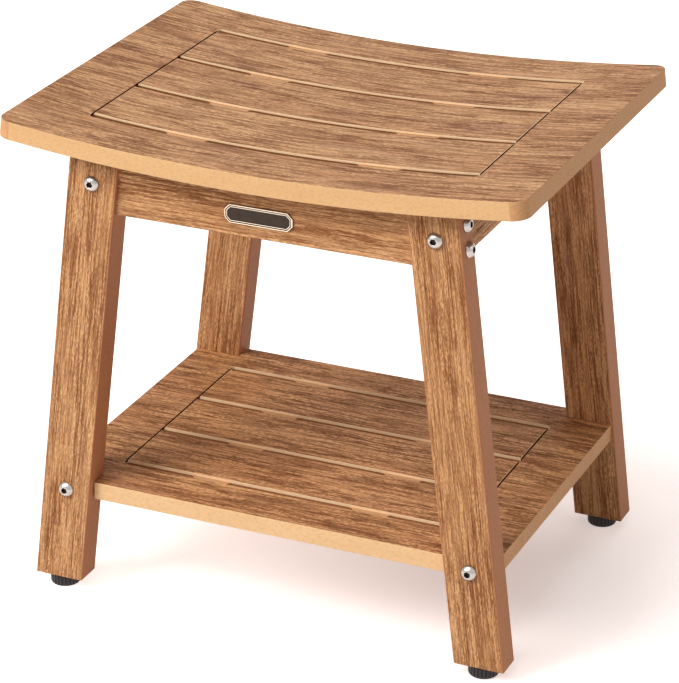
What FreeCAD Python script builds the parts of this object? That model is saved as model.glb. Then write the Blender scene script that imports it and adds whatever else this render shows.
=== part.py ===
import FreeCAD, Part
import math
import os

# Shower bench in millimetres. X runs along the seat, -Y is the front, Z is up and the floor is z = 0.
V = FreeCAD.Vector

# Seat: one board bent along its length, hollow side up, with its ends cut square to its faces
seat_length = 459.0          # straight line between the top edges of the two ends
seat_depth = 352.0
seat_thickness = 16.0
seat_end_height = 433.0      # top of the ends above the floor
seat_sag = 14.4              # dip of the middle below the ends
seat_corner_radius = 13.0

# Drain slots: routed grooves that go right through except at two bridges each
slot_width = 8.0
slot_rows = 4
groove_depth = 2.0           # depth of the groove over a bridge
kerf_width = 1.6             # thin cross groove that joins the slot ends
kerf_depth = 2.0
seat_slot_pitch = 80.0
seat_slot_margin = 57.5      # end of the seat to the end of a slot
seat_bridge_margin = 87.0    # end of a slot to the middle of its bridge
seat_bridge_length = 34.0
shelf_slot_pitch = 71.0
shelf_slot_margin = 48.0
shelf_bridge_margin = 82.5
shelf_bridge_length = 31.5

# Shelf: flat board notched round the legs
shelf_thickness = 16.0
shelf_height = 105.0         # top face above the floor
shelf_end_inset = 1.6        # outer faces of the legs, at that height, to the ends of the shelf
shelf_front_inset = 7.5      # front face of the legs to the front edge of the shelf
shelf_notch_clearance = 0.4

# Legs: boards that lean outwards along X, level at the foot and cut to the seat's underside at the top
leg_width = 44.0
leg_thickness = 25.0
leg_front_inset = 15.5       # front edge of the seat to the front face of the front legs
leg_end_inset = 60.5         # end of the seat to a leg's outer face, at the level of the ends' underside
leg_splay = 49.0             # how much farther out that face is at the leg's lower end

# Aprons: rails under the seat; the front and back ones are flush with the inner faces of the legs
side_apron_thickness = 16.0
long_apron_setback = 3.5     # front face of a leg to the outer face of the front or back apron
apron_drop = 75.7            # top of the seat ends down to the lower edge of the aprons

# Button head bolts and the threaded inserts they screw into
bolt_diameter = 8.0
bolt_hole_diameter = 9.0
bolt_head_diameter = 14.0
bolt_head_height = 4.4
bolt_head_rim = 0.8          # straight part of the head's edge
bolt_head_flat = 7.0         # diameter of the flat round the socket
bolt_socket_across = 5.0
bolt_socket_depth = 2.6
bolt_bite = 25.0             # length of a bolt past the leg
bolt_end_room = 3.0          # free hole past a bolt's tip
bolt_pair_pitch = 21.0       # two bolts at each end of the front and back aprons
bolt_pair_drop = 1.0         # middle of the pair below the bolt on the leg's front
insert_diameter = 11.0
insert_length = 20.0
thread_clearance = 0.05      # radial, between a plain shank and its insert

# Brackets that hold the seat on the front and back aprons, under the bridges of the outer slots
bracket_width = 26.0
bracket_leg = 30.0
bracket_thickness = 2.0
bracket_hole_clearance = 0.2
screw_diameter = 4.0
screw_length = 12.0
screw_head_diameter = 8.0
screw_head_height = 2.4
screw_inset = 8.0            # bracket's edges to the screws' centres along X
screw_setback = 22.0         # bracket's corner to the screws' centres

# Nameplate on the front apron, left bare
plate_length = 60.0
plate_height = 16.0
plate_thickness = 1.8
plate_chamfer = 4.5
plate_border = 1.8
plate_recess = 0.6
plate_centre_x = -1.9
plate_rise = 19.1            # lower edge of the apron to the middle of the plate

# Levelling feet: ribbed base on a threaded stud
foot_diameter = 26.0
foot_height = 9.7
foot_gap = 0.3               # base to the leg's lower end when screwed right in
foot_ribs = 24
foot_flute_diameter = 2.2
foot_chamfer = 1.0
foot_floor = 2.4             # plastic under the stud
stud_diameter = 8.0
stud_length = 34.0
stud_end_gap = 0.3
stud_hole_room = 4.0         # free hole over the stud's tip

# Places worked out from the sizes above
bend_radius = (seat_length ** 2 / 4 + seat_sag ** 2) / (2 * seat_sag)
bend_centre_z = seat_end_height - seat_sag + bend_radius
underside_radius = bend_radius + seat_thickness
leg_bottom_z = foot_height + foot_gap
leg_top_z = seat_end_height - seat_thickness
leg_top_x = seat_length / 2 - leg_end_inset
leg_bottom_x = leg_top_x + leg_splay
lean = math.atan2(leg_splay, leg_top_z - leg_bottom_z)
leg_slice = leg_width / math.cos(lean)
leg_front_y = seat_depth / 2 - leg_front_inset
leg_inner_y = leg_front_y - leg_thickness
leg_middle_y = leg_front_y - leg_thickness / 2
apron_bottom = seat_end_height - apron_drop
apron_face_y = leg_front_y - long_apron_setback
apron_middle_y = (leg_inner_y + apron_face_y) / 2
shelf_middle_z = shelf_height - shelf_thickness / 2
stud_bottom = foot_floor + stud_end_gap
stud_top = stud_bottom + stud_length
same_length = 1e-6           # two lengths closer than this are one
SIDES = {"left": -1, "right": 1}
ENDS = {"front": -1, "back": 1}


def arc_z(radius, x):
    """Height of the bend's arc of this radius at x."""
    return bend_centre_z - math.sqrt(radius ** 2 - x ** 2)


def leg_outer_x(z):
    """Distance of a leg's outer face from the middle plane at height z."""
    return leg_bottom_x - math.tan(lean) * (z - leg_bottom_z)


def leg_middle_x(z):
    return leg_outer_x(z) - leg_slice / 2


def leg_inner_x(z):
    return leg_outer_x(z) - leg_slice


# Slots and shelf keep their distance from the ends of the seat and from the legs
seat_slot_length = seat_length - 2 * seat_slot_margin
seat_bridge_offset = seat_slot_length / 2 - seat_bridge_margin
shelf_length = 2 * (leg_outer_x(shelf_height) - shelf_end_inset)
shelf_depth = 2 * (leg_front_y - shelf_front_inset)
shelf_slot_length = shelf_length - 2 * shelf_slot_margin
shelf_bridge_offset = shelf_slot_length / 2 - shelf_bridge_margin

# Bolts near the top of a leg share the middle height of the side apron's end
apron_bolt_z = (apron_bottom + arc_z(underside_radius, leg_middle_x(leg_top_z))) / 2


def prism(points, y_from, y_to):
    """Straight-sided shape drawn in X and Z, run along Y."""
    corners = [V(x, y_from, z) for x, z in points]
    face = Part.Face(Part.makePolygon(corners + corners[:1]))
    return face.extrude(V(0, y_to - y_from, 0))


def above_arc(radius):
    """Everything above the bend's arc of this radius, used to cut things to the seat's curve."""
    reach = seat_length
    half_depth = seat_depth
    top = seat_end_height + reach
    ends = [V(side * reach, -half_depth, arc_z(radius, reach)) for side in (-1, 1)]
    arc = Part.Arc(ends[0], V(0, -half_depth, arc_z(radius, 0)), ends[1]).toShape()
    roof = Part.makePolygon([ends[1], V(reach, -half_depth, top), V(-reach, -half_depth, top), ends[0]])
    return Part.Face(Part.Wire([arc] + roof.Edges)).extrude(V(0, 2 * half_depth, 0))


def box_between(low, high):
    return Part.makeBox(high.x - low.x, high.y - low.y, high.z - low.z, low)


def rod(diameter, start, direction, length):
    return Part.makeCylinder(diameter / 2, length, start, direction)


def round_slot(x_from, x_to, y, z_from, z_to):
    """Upright prism with half-round ends, as an end mill leaves it."""
    half = slot_width / 2
    near = [V(x_from + half, y - half, z_from), V(x_to - half, y - half, z_from)]
    far = [V(x_to - half, y + half, z_from), V(x_from + half, y + half, z_from)]
    edges = [
        Part.LineSegment(near[0], near[1]).toShape(),
        Part.Arc(near[1], V(x_to, y, z_from), far[0]).toShape(),
        Part.LineSegment(far[0], far[1]).toShape(),
        Part.Arc(far[1], V(x_from, y, z_from), near[0]).toShape(),
    ]
    return Part.Face(Part.Wire(edges)).extrude(V(0, 0, z_to - z_from))


def slot_cutters(length, pitch, bridge_offset, bridge_length, z_from, z_to):
    """Cutters for one board: through slots, and the shallow grooves with their cross kerfs."""
    inner = bridge_offset - bridge_length / 2
    outer = bridge_offset + bridge_length / 2
    stretches = [(-length / 2, -outer), (-inner, inner), (outer, length / 2)]
    rows = [(row - (slot_rows - 1) / 2) * pitch for row in range(slot_rows)]
    through = [round_slot(a, b, y, z_from, z_to) for y in rows for a, b in stretches]
    grooves = [round_slot(-length / 2, length / 2, y, z_from, z_to) for y in rows]
    kerf_x = (length - kerf_width) / 2
    kerfs = []
    for side in SIDES.values():
        low = V(side * kerf_x - kerf_width / 2, rows[0], z_from)
        kerfs.append(box_between(low, V(low.x + kerf_width, rows[-1], z_to)))
    return through, grooves, kerfs


def lean_direction(side):
    """Outward normal of a leg's outer face."""
    return V(side * math.cos(lean), 0, math.sin(lean))


def place(shape, point, direction):
    """Moves a shape drawn along +Z from the origin so that it starts at point along direction."""
    moved = shape.copy()
    moved.Placement = FreeCAD.Placement(point, FreeCAD.Rotation(V(0, 0, 1), direction))
    return moved


def button_bolt(length):
    """Domed socket bolt with its head above the origin and its plain shank below."""
    rim = V(bolt_head_diameter / 2, 0, bolt_head_rim)
    flat = V(bolt_head_flat / 2, 0, bolt_head_height)
    top = V(0, 0, bolt_head_height)
    sphere_z = (flat.dot(flat) - rim.dot(rim)) / (2 * (flat.z - rim.z))
    sphere = V(0, 0, sphere_z)
    crown = sphere + (rim + flat - sphere * 2).normalize() * (rim - sphere).Length
    outline = [
        Part.LineSegment(V(0, 0, 0), V(rim.x, 0, 0)).toShape(),
        Part.LineSegment(V(rim.x, 0, 0), rim).toShape(),
        Part.Arc(rim, crown, flat).toShape(),
        Part.LineSegment(flat, top).toShape(),
        Part.LineSegment(top, V(0, 0, 0)).toShape(),
    ]
    head = Part.Face(Part.Wire(outline)).revolve(V(0, 0, 0), V(0, 0, 1), 360)
    corner = bolt_socket_across / math.sqrt(3)
    floor = bolt_head_height - bolt_socket_depth
    ring = [V(corner * math.cos(k * math.pi / 3), corner * math.sin(k * math.pi / 3), floor) for k in range(7)]
    socket = Part.Face(Part.makePolygon(ring)).extrude(V(0, 0, bolt_socket_depth))
    return head.cut(socket).fuse(rod(bolt_diameter, V(0, 0, 0), V(0, 0, -1), length)).removeSplitter()


def tube(outer, inner, point, direction, length):
    return rod(outer, point, direction, length).cut(rod(inner, point, direction, length))


def insert_at(mouth, direction):
    return tube(insert_diameter, bolt_diameter + 2 * thread_clearance, mouth, direction, insert_length)


def insert_pocket(mouth, direction, depth):
    """Hole for an insert, with a narrower free hole on to the full depth."""
    pocket = rod(insert_diameter, mouth, direction, insert_length)
    return pocket.fuse(rod(bolt_hole_diameter, mouth, direction, depth))


def side_apron_joints():
    """Front and back bolts into the ends of the side aprons: (leg face point, outward direction)."""
    joints = []
    for side in SIDES.values():
        for end in ENDS.values():
            x = side * leg_middle_x(apron_bolt_z)
            joints.append((V(x, end * leg_front_y, apron_bolt_z), V(0, end, 0)))
    return joints


def shelf_joints():
    """Front and back bolts into the shelf's notches."""
    joints = []
    for side in SIDES.values():
        for end in ENDS.values():
            x = side * leg_middle_x(shelf_middle_z)
            joints.append((V(x, end * leg_front_y, shelf_middle_z), V(0, end, 0)))
    return joints


def long_apron_joints():
    """Pairs of bolts through the legs' outer faces into the front and back aprons, square to the legs."""
    joints = []
    for side in SIDES.values():
        outward = lean_direction(side)
        for end in ENDS.values():
            for step in (-0.5, 0.5):
                z = apron_bolt_z - bolt_pair_drop + step * bolt_pair_pitch
                middle = V(side * leg_middle_x(z), end * apron_middle_y, z)
                joints.append((middle + outward * (leg_width / 2), outward))
    return joints


def bolts(joints, board):
    """Bolts whose heads lie on a leg that is this thick along the bolt."""
    bolt = button_bolt(board + bolt_bite)
    return [place(bolt, point, outward) for point, outward in joints]


def inserts(joints, board):
    return [insert_at(point - outward * board, outward * -1) for point, outward in joints]


def leg_holes(joints, board):
    return [rod(bolt_hole_diameter, point, outward * -1, board) for point, outward in joints]


def insert_pockets(joints, board):
    depth = bolt_bite + bolt_end_room
    return [insert_pocket(point - outward * board, outward * -1, depth) for point, outward in joints]


def foot_centre(side, end):
    return V(side * leg_middle_x(leg_bottom_z), end * leg_middle_y, 0)


def leg(side, end, holes, over_seat):
    top = seat_end_height
    outline = [
        (side * leg_outer_x(leg_bottom_z), leg_bottom_z),
        (side * leg_outer_x(top), top),
        (side * leg_inner_x(top), top),
        (side * leg_inner_x(leg_bottom_z), leg_bottom_z),
    ]
    board = prism(outline, end * leg_inner_y, end * leg_front_y).cut(over_seat)
    mouth = foot_centre(side, end) + V(0, 0, leg_bottom_z)
    depth = stud_top + stud_hole_room - leg_bottom_z
    return board.cut(holes + [insert_pocket(mouth, V(0, 0, 1), depth)])


def long_apron(end, holes, over_seat):
    """Front or back apron, its ends cut to the lean of the legs."""
    top = seat_end_height
    outline = []
    for side in SIDES.values():
        edge = [(side * leg_inner_x(apron_bottom), apron_bottom), (side * leg_inner_x(top), top)]
        outline += edge if side < 0 else edge[::-1]
    return prism(outline, end * leg_inner_y, end * apron_face_y).cut([over_seat] + holes)


def side_apron(side, holes, over_seat):
    """Left or right apron, leaning with the legs and centred on their width."""
    outward = lean_direction(side)
    down = V(side * math.sin(lean), 0, -math.cos(lean))
    foot = V(side * leg_middle_x(apron_bottom), 0, apron_bottom)
    head = foot - down * seat_end_height
    half = outward * (side_apron_thickness / 2)
    outline = [(p.x, p.z) for p in (foot + half, head + half, head - half, foot - half)]
    return prism(outline, -leg_inner_y, leg_inner_y).cut([over_seat] + holes)


def seat(holes):
    half_angle = math.asin(seat_length / 2 / bend_radius)
    front = -seat_depth / 2

    def on_arc(radius, angle):
        return V(radius * math.sin(angle), front, bend_centre_z - radius * math.cos(angle))

    top = [on_arc(bend_radius, a) for a in (-half_angle, 0, half_angle)]
    low = [on_arc(underside_radius, a) for a in (-half_angle, 0, half_angle)]
    outline = [
        Part.Arc(*top).toShape(),
        Part.LineSegment(top[2], low[2]).toShape(),
        Part.Arc(low[2], low[1], low[0]).toShape(),
        Part.LineSegment(low[0], top[0]).toShape(),
    ]
    board = Part.Face(Part.Wire(outline)).extrude(V(0, seat_depth, 0))
    corners = [e for e in board.Edges if abs(e.Length - seat_thickness) < same_length]
    board = board.makeFillet(seat_corner_radius, corners)
    through, grooves, kerfs = slot_cutters(
        seat_slot_length, seat_slot_pitch, seat_bridge_offset, seat_bridge_length, 0, seat_end_height)
    groove_room = above_arc(bend_radius + groove_depth)
    kerf_room = above_arc(bend_radius + kerf_depth)
    shallow = [g.common(groove_room) for g in grooves] + [k.common(kerf_room) for k in kerfs]
    return board.cut(through + shallow + holes)


def shelf(holes):
    half = V(shelf_length / 2, shelf_depth / 2, 0)
    low = shelf_height - shelf_thickness
    board = box_between(V(-half.x, -half.y, low), V(half.x, half.y, shelf_height))
    notch_x = leg_inner_x(shelf_height) - shelf_notch_clearance
    notches = []
    for side in SIDES.values():
        for end in ENDS.values():
            xs = sorted((side * notch_x, side * half.x))
            ys = sorted((end * leg_inner_y, end * half.y))
            notches.append(box_between(V(xs[0], ys[0], low), V(xs[1], ys[1], shelf_height)))
    through, _, _ = slot_cutters(
        shelf_slot_length, shelf_slot_pitch, shelf_bridge_offset, shelf_bridge_length, low, shelf_height)
    _, grooves, _ = slot_cutters(
        shelf_slot_length, shelf_slot_pitch, shelf_bridge_offset, shelf_bridge_length,
        shelf_height - groove_depth, shelf_height)
    _, _, kerfs = slot_cutters(
        shelf_slot_length, shelf_slot_pitch, shelf_bridge_offset, shelf_bridge_length,
        shelf_height - kerf_depth, shelf_height)
    return board.cut(notches + through + grooves + kerfs + holes)


def bracket_frames():
    """Where each bracket's corner lies: on an apron's inner face, touching the seat's underside."""
    frames = {}
    tilt = math.degrees(math.asin(seat_bridge_offset / underside_radius))
    for end_name, end in ENDS.items():
        for side_name, side in SIDES.items():
            point = V(side * seat_bridge_offset, end * leg_inner_y, arc_z(underside_radius, seat_bridge_offset))
            turn = FreeCAD.Rotation(V(0, 1, 0), -side * tilt)
            if end > 0:
                turn = turn * FreeCAD.Rotation(V(0, 0, 1), 180)
            frames[f"{end_name}_{side_name}"] = FreeCAD.Placement(point, turn)
    return frames


def screw_places():
    """Screws of one bracket in its own frame: (point on the flange's inner face, way the screw goes)."""
    places = []
    for side in SIDES.values():
        x = side * (bracket_width / 2 - screw_inset)
        places.append((V(x, screw_setback, -bracket_thickness), V(0, 0, 1)))
        places.append((V(x, bracket_thickness, -screw_setback), V(0, -1, 0)))
    return places


def bracket(frame):
    half = bracket_width / 2
    shape = box_between(V(-half, 0, -bracket_leg), V(half, bracket_leg, 0))
    inside = V(half, bracket_leg, -bracket_thickness)
    shape = shape.cut(box_between(V(-half, bracket_thickness, -bracket_leg), inside))
    hole = screw_diameter + 2 * bracket_hole_clearance
    shape = shape.cut([rod(hole, point, way, bracket_thickness) for point, way in screw_places()])
    shape.Placement = frame
    return shape


def screws(frame):
    """Pan head screws of one bracket."""
    pieces = []
    for point, way in screw_places():
        head = rod(screw_head_diameter, point, way * -1, screw_head_height)
        screw = head.fuse(rod(screw_diameter, point, way, screw_length)).removeSplitter()
        screw.Placement = frame
        pieces.append(screw)
    return pieces


def screw_holes(frame):
    """Pilot holes past the flanges."""
    holes = []
    for point, way in screw_places():
        hole = rod(screw_diameter, point + way * bracket_thickness, way, screw_length - bracket_thickness)
        hole.Placement = frame
        holes.append(hole)
    return holes


def octagon(length, height, chamfer, y_from, y_to):
    """Plate outline with cut corners round the nameplate's centre."""
    a = length / 2
    b = height / 2
    z0 = apron_bottom + plate_rise
    quarter = [(a, b - chamfer), (a - chamfer, b)]
    points = quarter + [(-x, z) for x, z in quarter[::-1]]
    points += [(-x, -z) for x, z in quarter] + [(x, -z) for x, z in quarter[::-1]]
    return prism([(plate_centre_x + x, z0 + z) for x, z in points], y_from, y_to)


def nameplate():
    face = -apron_face_y - plate_thickness
    plate = octagon(plate_length, plate_height, plate_chamfer, face, -apron_face_y)
    inner_chamfer = plate_chamfer - plate_border * (2 - math.sqrt(2))
    field = octagon(
        plate_length - 2 * plate_border, plate_height - 2 * plate_border, inner_chamfer, face, face + plate_recess)
    return plate.cut(field)


def foot_base(centre):
    body = rod(foot_diameter, centre, V(0, 0, 1), foot_height)
    body = body.makeChamfer(foot_chamfer, [e for e in body.Edges if e.BoundBox.ZMax < foot_height / 2])
    flutes = []
    for k in range(foot_ribs):
        angle = 2 * math.pi * k / foot_ribs
        spot = centre + V(math.cos(angle), math.sin(angle), 0) * (foot_diameter / 2)
        flutes.append(rod(foot_flute_diameter, spot, V(0, 0, 1), foot_height))
    bore = rod(stud_diameter + 2 * thread_clearance, centre + V(0, 0, foot_floor), V(0, 0, 1), foot_height)
    return body.cut(flutes + [bore])


def foot_stud(centre):
    return rod(stud_diameter, centre + V(0, 0, stud_bottom), V(0, 0, 1), stud_length)


def foot_insert(centre):
    mouth = centre + V(0, 0, leg_bottom_z)
    return tube(insert_diameter, stud_diameter + 2 * thread_clearance, mouth, V(0, 0, 1), insert_length)


def build():
    """Every node of the bench by name: a solid, or a list of like solids."""
    over_seat = above_arc(underside_radius)
    frames = bracket_frames()
    bracket_holes = [hole for frame in frames.values() for hole in screw_holes(frame)]
    holes = leg_holes(side_apron_joints() + shelf_joints(), leg_thickness)
    holes += leg_holes(long_apron_joints(), leg_width)
    nodes = {"seat_panel": seat(bracket_holes)}
    nodes["shelf_panel"] = shelf(insert_pockets(shelf_joints(), leg_thickness))
    for end_name, end in ENDS.items():
        pockets = insert_pockets(long_apron_joints(), leg_width)
        nodes[f"{end_name}_apron"] = long_apron(end, pockets + bracket_holes, over_seat)
        for side_name, side in SIDES.items():
            corner = f"{end_name}_{side_name}"
            centre = foot_centre(side, end)
            nodes[f"{corner}_leg"] = leg(side, end, holes, over_seat)
            nodes[f"{corner}_foot_base"] = foot_base(centre)
            nodes[f"{corner}_foot_stud"] = foot_stud(centre)
            nodes[f"{corner}_foot_insert"] = foot_insert(centre)
            nodes[f"{corner}_seat_bracket"] = bracket(frames[corner])
    for side_name, side in SIDES.items():
        nodes[f"{side_name}_apron"] = side_apron(side, insert_pockets(side_apron_joints(), leg_thickness), over_seat)
    nodes["nameplate"] = nameplate()
    nodes["long_apron_bolts"] = bolts(long_apron_joints(), leg_width)
    nodes["side_apron_bolts"] = bolts(side_apron_joints(), leg_thickness)
    nodes["shelf_bolts"] = bolts(shelf_joints(), leg_thickness)
    nodes["long_apron_inserts"] = inserts(long_apron_joints(), leg_width)
    nodes["side_apron_inserts"] = inserts(side_apron_joints(), leg_thickness)
    nodes["shelf_inserts"] = inserts(shelf_joints(), leg_thickness)
    nodes["bracket_screws"] = [screw for frame in frames.values() for screw in screws(frame)]
    return nodes


os.makedirs("parts", exist_ok=True)
for name, shape in build().items():
    if isinstance(shape, list):
        shape = Part.makeCompound(shape)
    shape.exportStep(f"parts/{name}.step")
    print(name, len(shape.Solids), "solids", round(shape.Volume), "mm3", "valid" if shape.isValid() else "INVALID")
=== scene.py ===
# %% [markdown]
# # A shower bench
# The bench is made of plastic board that looks like teak: a seat bent along its length, four leaning legs,
# four aprons under the seat and a shelf between the legs, all held by button head bolts. Its solids come
# from a CAD model, which stands still as a frame. This lesson builds the surfaces that the eye meets over
# that frame, one piece at a time, and gives every piece the finish of the real material.

# %% Load the frame
import math

import bmesh
import bpy
import numpy as np
from mathutils import Matrix, Quaternion, Vector
from mathutils.geometry import delaunay_2d_cdt


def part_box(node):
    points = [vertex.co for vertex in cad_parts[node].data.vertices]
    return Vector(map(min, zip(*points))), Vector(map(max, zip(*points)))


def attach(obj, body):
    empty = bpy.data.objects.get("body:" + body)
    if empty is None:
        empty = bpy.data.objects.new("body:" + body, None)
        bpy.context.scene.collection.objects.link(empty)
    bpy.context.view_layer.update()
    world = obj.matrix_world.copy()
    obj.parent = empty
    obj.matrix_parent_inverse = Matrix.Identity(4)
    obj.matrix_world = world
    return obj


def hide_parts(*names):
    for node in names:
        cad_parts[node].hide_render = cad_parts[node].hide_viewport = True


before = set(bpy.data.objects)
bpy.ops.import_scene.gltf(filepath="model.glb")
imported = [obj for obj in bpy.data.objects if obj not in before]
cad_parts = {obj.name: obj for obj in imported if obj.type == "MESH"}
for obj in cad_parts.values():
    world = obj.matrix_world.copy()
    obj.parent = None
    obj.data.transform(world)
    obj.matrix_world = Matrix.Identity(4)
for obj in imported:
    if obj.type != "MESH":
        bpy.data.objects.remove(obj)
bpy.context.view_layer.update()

# %% [markdown]
# ## Sizes
# A new surface has to lie exactly where its solid is, so the sizes of the bench come first, in metres. The
# seat is a flat board pressed over a former, so its top is part of a cylinder, and one radius gives the
# height of every point under it. The legs lean outwards along X, so one slope gives how far out a leg is at
# any height.

# %% Sizes of the bench
MM = 0.001
SEAT_HALF_LENGTH = 229.5 * MM
SEAT_HALF_DEPTH = 176 * MM
SEAT_THICKNESS = 16 * MM
SEAT_END_HEIGHT = 433 * MM
SEAT_SAG = 14.4 * MM
LEG_WIDTH = 44 * MM
LEG_THICKNESS = 25 * MM
LEG_FRONT = 160.5 * MM
LEG_BOTTOM = 10 * MM
LEG_BOTTOM_OUT = 218 * MM
LEG_SPLAY = 49 * MM
APRON_FACE = 157 * MM
APRON_BOTTOM = 357.3 * MM
SHELF_TOP = 105 * MM
SHELF_THICKNESS = 16 * MM

LEG_INNER = LEG_FRONT - LEG_THICKNESS
BEND_RADIUS = (SEAT_HALF_LENGTH ** 2 + SEAT_SAG ** 2) / (2 * SEAT_SAG)
BEND_CENTRE = SEAT_END_HEIGHT - SEAT_SAG + BEND_RADIUS
LEG_SLOPE = LEG_SPLAY / (SEAT_END_HEIGHT - SEAT_THICKNESS - LEG_BOTTOM)
LEAN = math.atan(LEG_SLOPE)
LEG_HALF_SLICE = LEG_WIDTH / 2 / math.cos(LEAN)
SIDES = {"left": -1, "right": 1}
ENDS = {"front": -1, "back": 1}


def under_seat(x):
    """Height of the seat's underside."""
    return BEND_CENTRE - math.sqrt((BEND_RADIUS + SEAT_THICKNESS) ** 2 - x ** 2)


def leg_middle(z):
    """Distance from the bench's middle plane to the middle of a leg at this height."""
    return LEG_BOTTOM_OUT - LEG_SLOPE * (z - LEG_BOTTOM) - LEG_HALF_SLICE


print(f"bend radius {BEND_RADIUS:.3f} m, legs lean {math.degrees(LEAN):.2f} degrees")

# %% [markdown]
# ## Helpers for nodes
# Materials and Geometry Nodes are both trees of nodes. Adding a node is always the same work: make it, set
# its properties, then give each input either a value or a link. One small function does that, so that the
# trees below read as lists of what they hold. Colours are written as the hex values that a picture shows.
# Blender mixes light in linear values, so one function turns them round. Every finish ends alike, with a
# colour and with one pattern that sets both roughness and bump, so that gloss and relief change together as
# on a real surface.

# %% Nodes and colours
def add(tree, kind, sockets=None, **settings):
    """Adds one node: settings are its properties, sockets its inputs, each a value or a link."""
    node = tree.nodes.new(kind)
    for name, value in settings.items():
        setattr(node, name, value)
    for key, value in (sockets or {}).items():
        if isinstance(value, bpy.types.NodeSocket):
            tree.links.new(value, node.inputs[key])
        else:
            node.inputs[key].default_value = value
    return node


def colour(hex_code):
    """Linear colour of an sRGB hex value."""
    parts = [int(hex_code[i:i + 2], 16) / 255 for i in (1, 3, 5)]
    return [p / 12.92 if p <= 0.04045 else ((p + 0.055) / 1.055) ** 2.4 for p in parts] + [1]


def per_mm(along, across, deep):
    """Scale that makes one turn of a pattern this many millimetres long."""
    return (1000 / along, 1000 / across, 1000 / deep)


print("node helpers ready")

# %% Materials
def new_material(name):
    """A material with an empty tree and its shader."""
    made = bpy.data.materials.new(name)
    made.use_nodes = True
    return made, made.node_tree


def surface(made, tone, relief, gloss, strength, depth, constants=None, invert=False):
    """Gives a material its colour, and its roughness and bump from one pattern: gloss is the roughness where
    the pattern is 0 and where it is 1, and depth is the bump's in millimetres."""
    tree = made.node_tree
    rough = add(tree, "ShaderNodeMapRange", {"Value": relief, "To Min": gloss[0], "To Max": gloss[1]})
    bump = add(tree, "ShaderNodeBump", {"Height": relief, "Strength": strength, "Distance": depth * MM},
               invert=invert)
    shader = tree.nodes["Principled BSDF"].inputs
    for name, value in (constants or {}).items():
        shader[name].default_value = value
    for name, link in (("Base Color", tone), ("Roughness", rough.outputs[0]), ("Normal", bump.outputs[0])):
        tree.links.new(link, shader[name])
    print(made.name, len(tree.nodes), "nodes")
    return made


print("material helpers ready")

# %% [markdown]
# ## The boards' skin
# The boards are foamed polystyrene, extruded with a teak-coloured skin and rolled under a heated, engraved
# cylinder, which presses a wood grain into the faces. A picture of wood would repeat and needs a file, so
# the grain is worked out: noise that is stretched along the board and cut off hard gives the short dashes
# of pores, a thin slice of a longer noise gives fine lines, and broader noises decide where they crowd
# together and where smoky patches lie. Each board carries a "grain" attribute, its own flat coordinates
# with X along the board, so that the grain follows bent and leaning boards alike. The wide sheets have a
# coarser grain than the planks, and the shelf's is the stronger and redder of the two.

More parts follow.
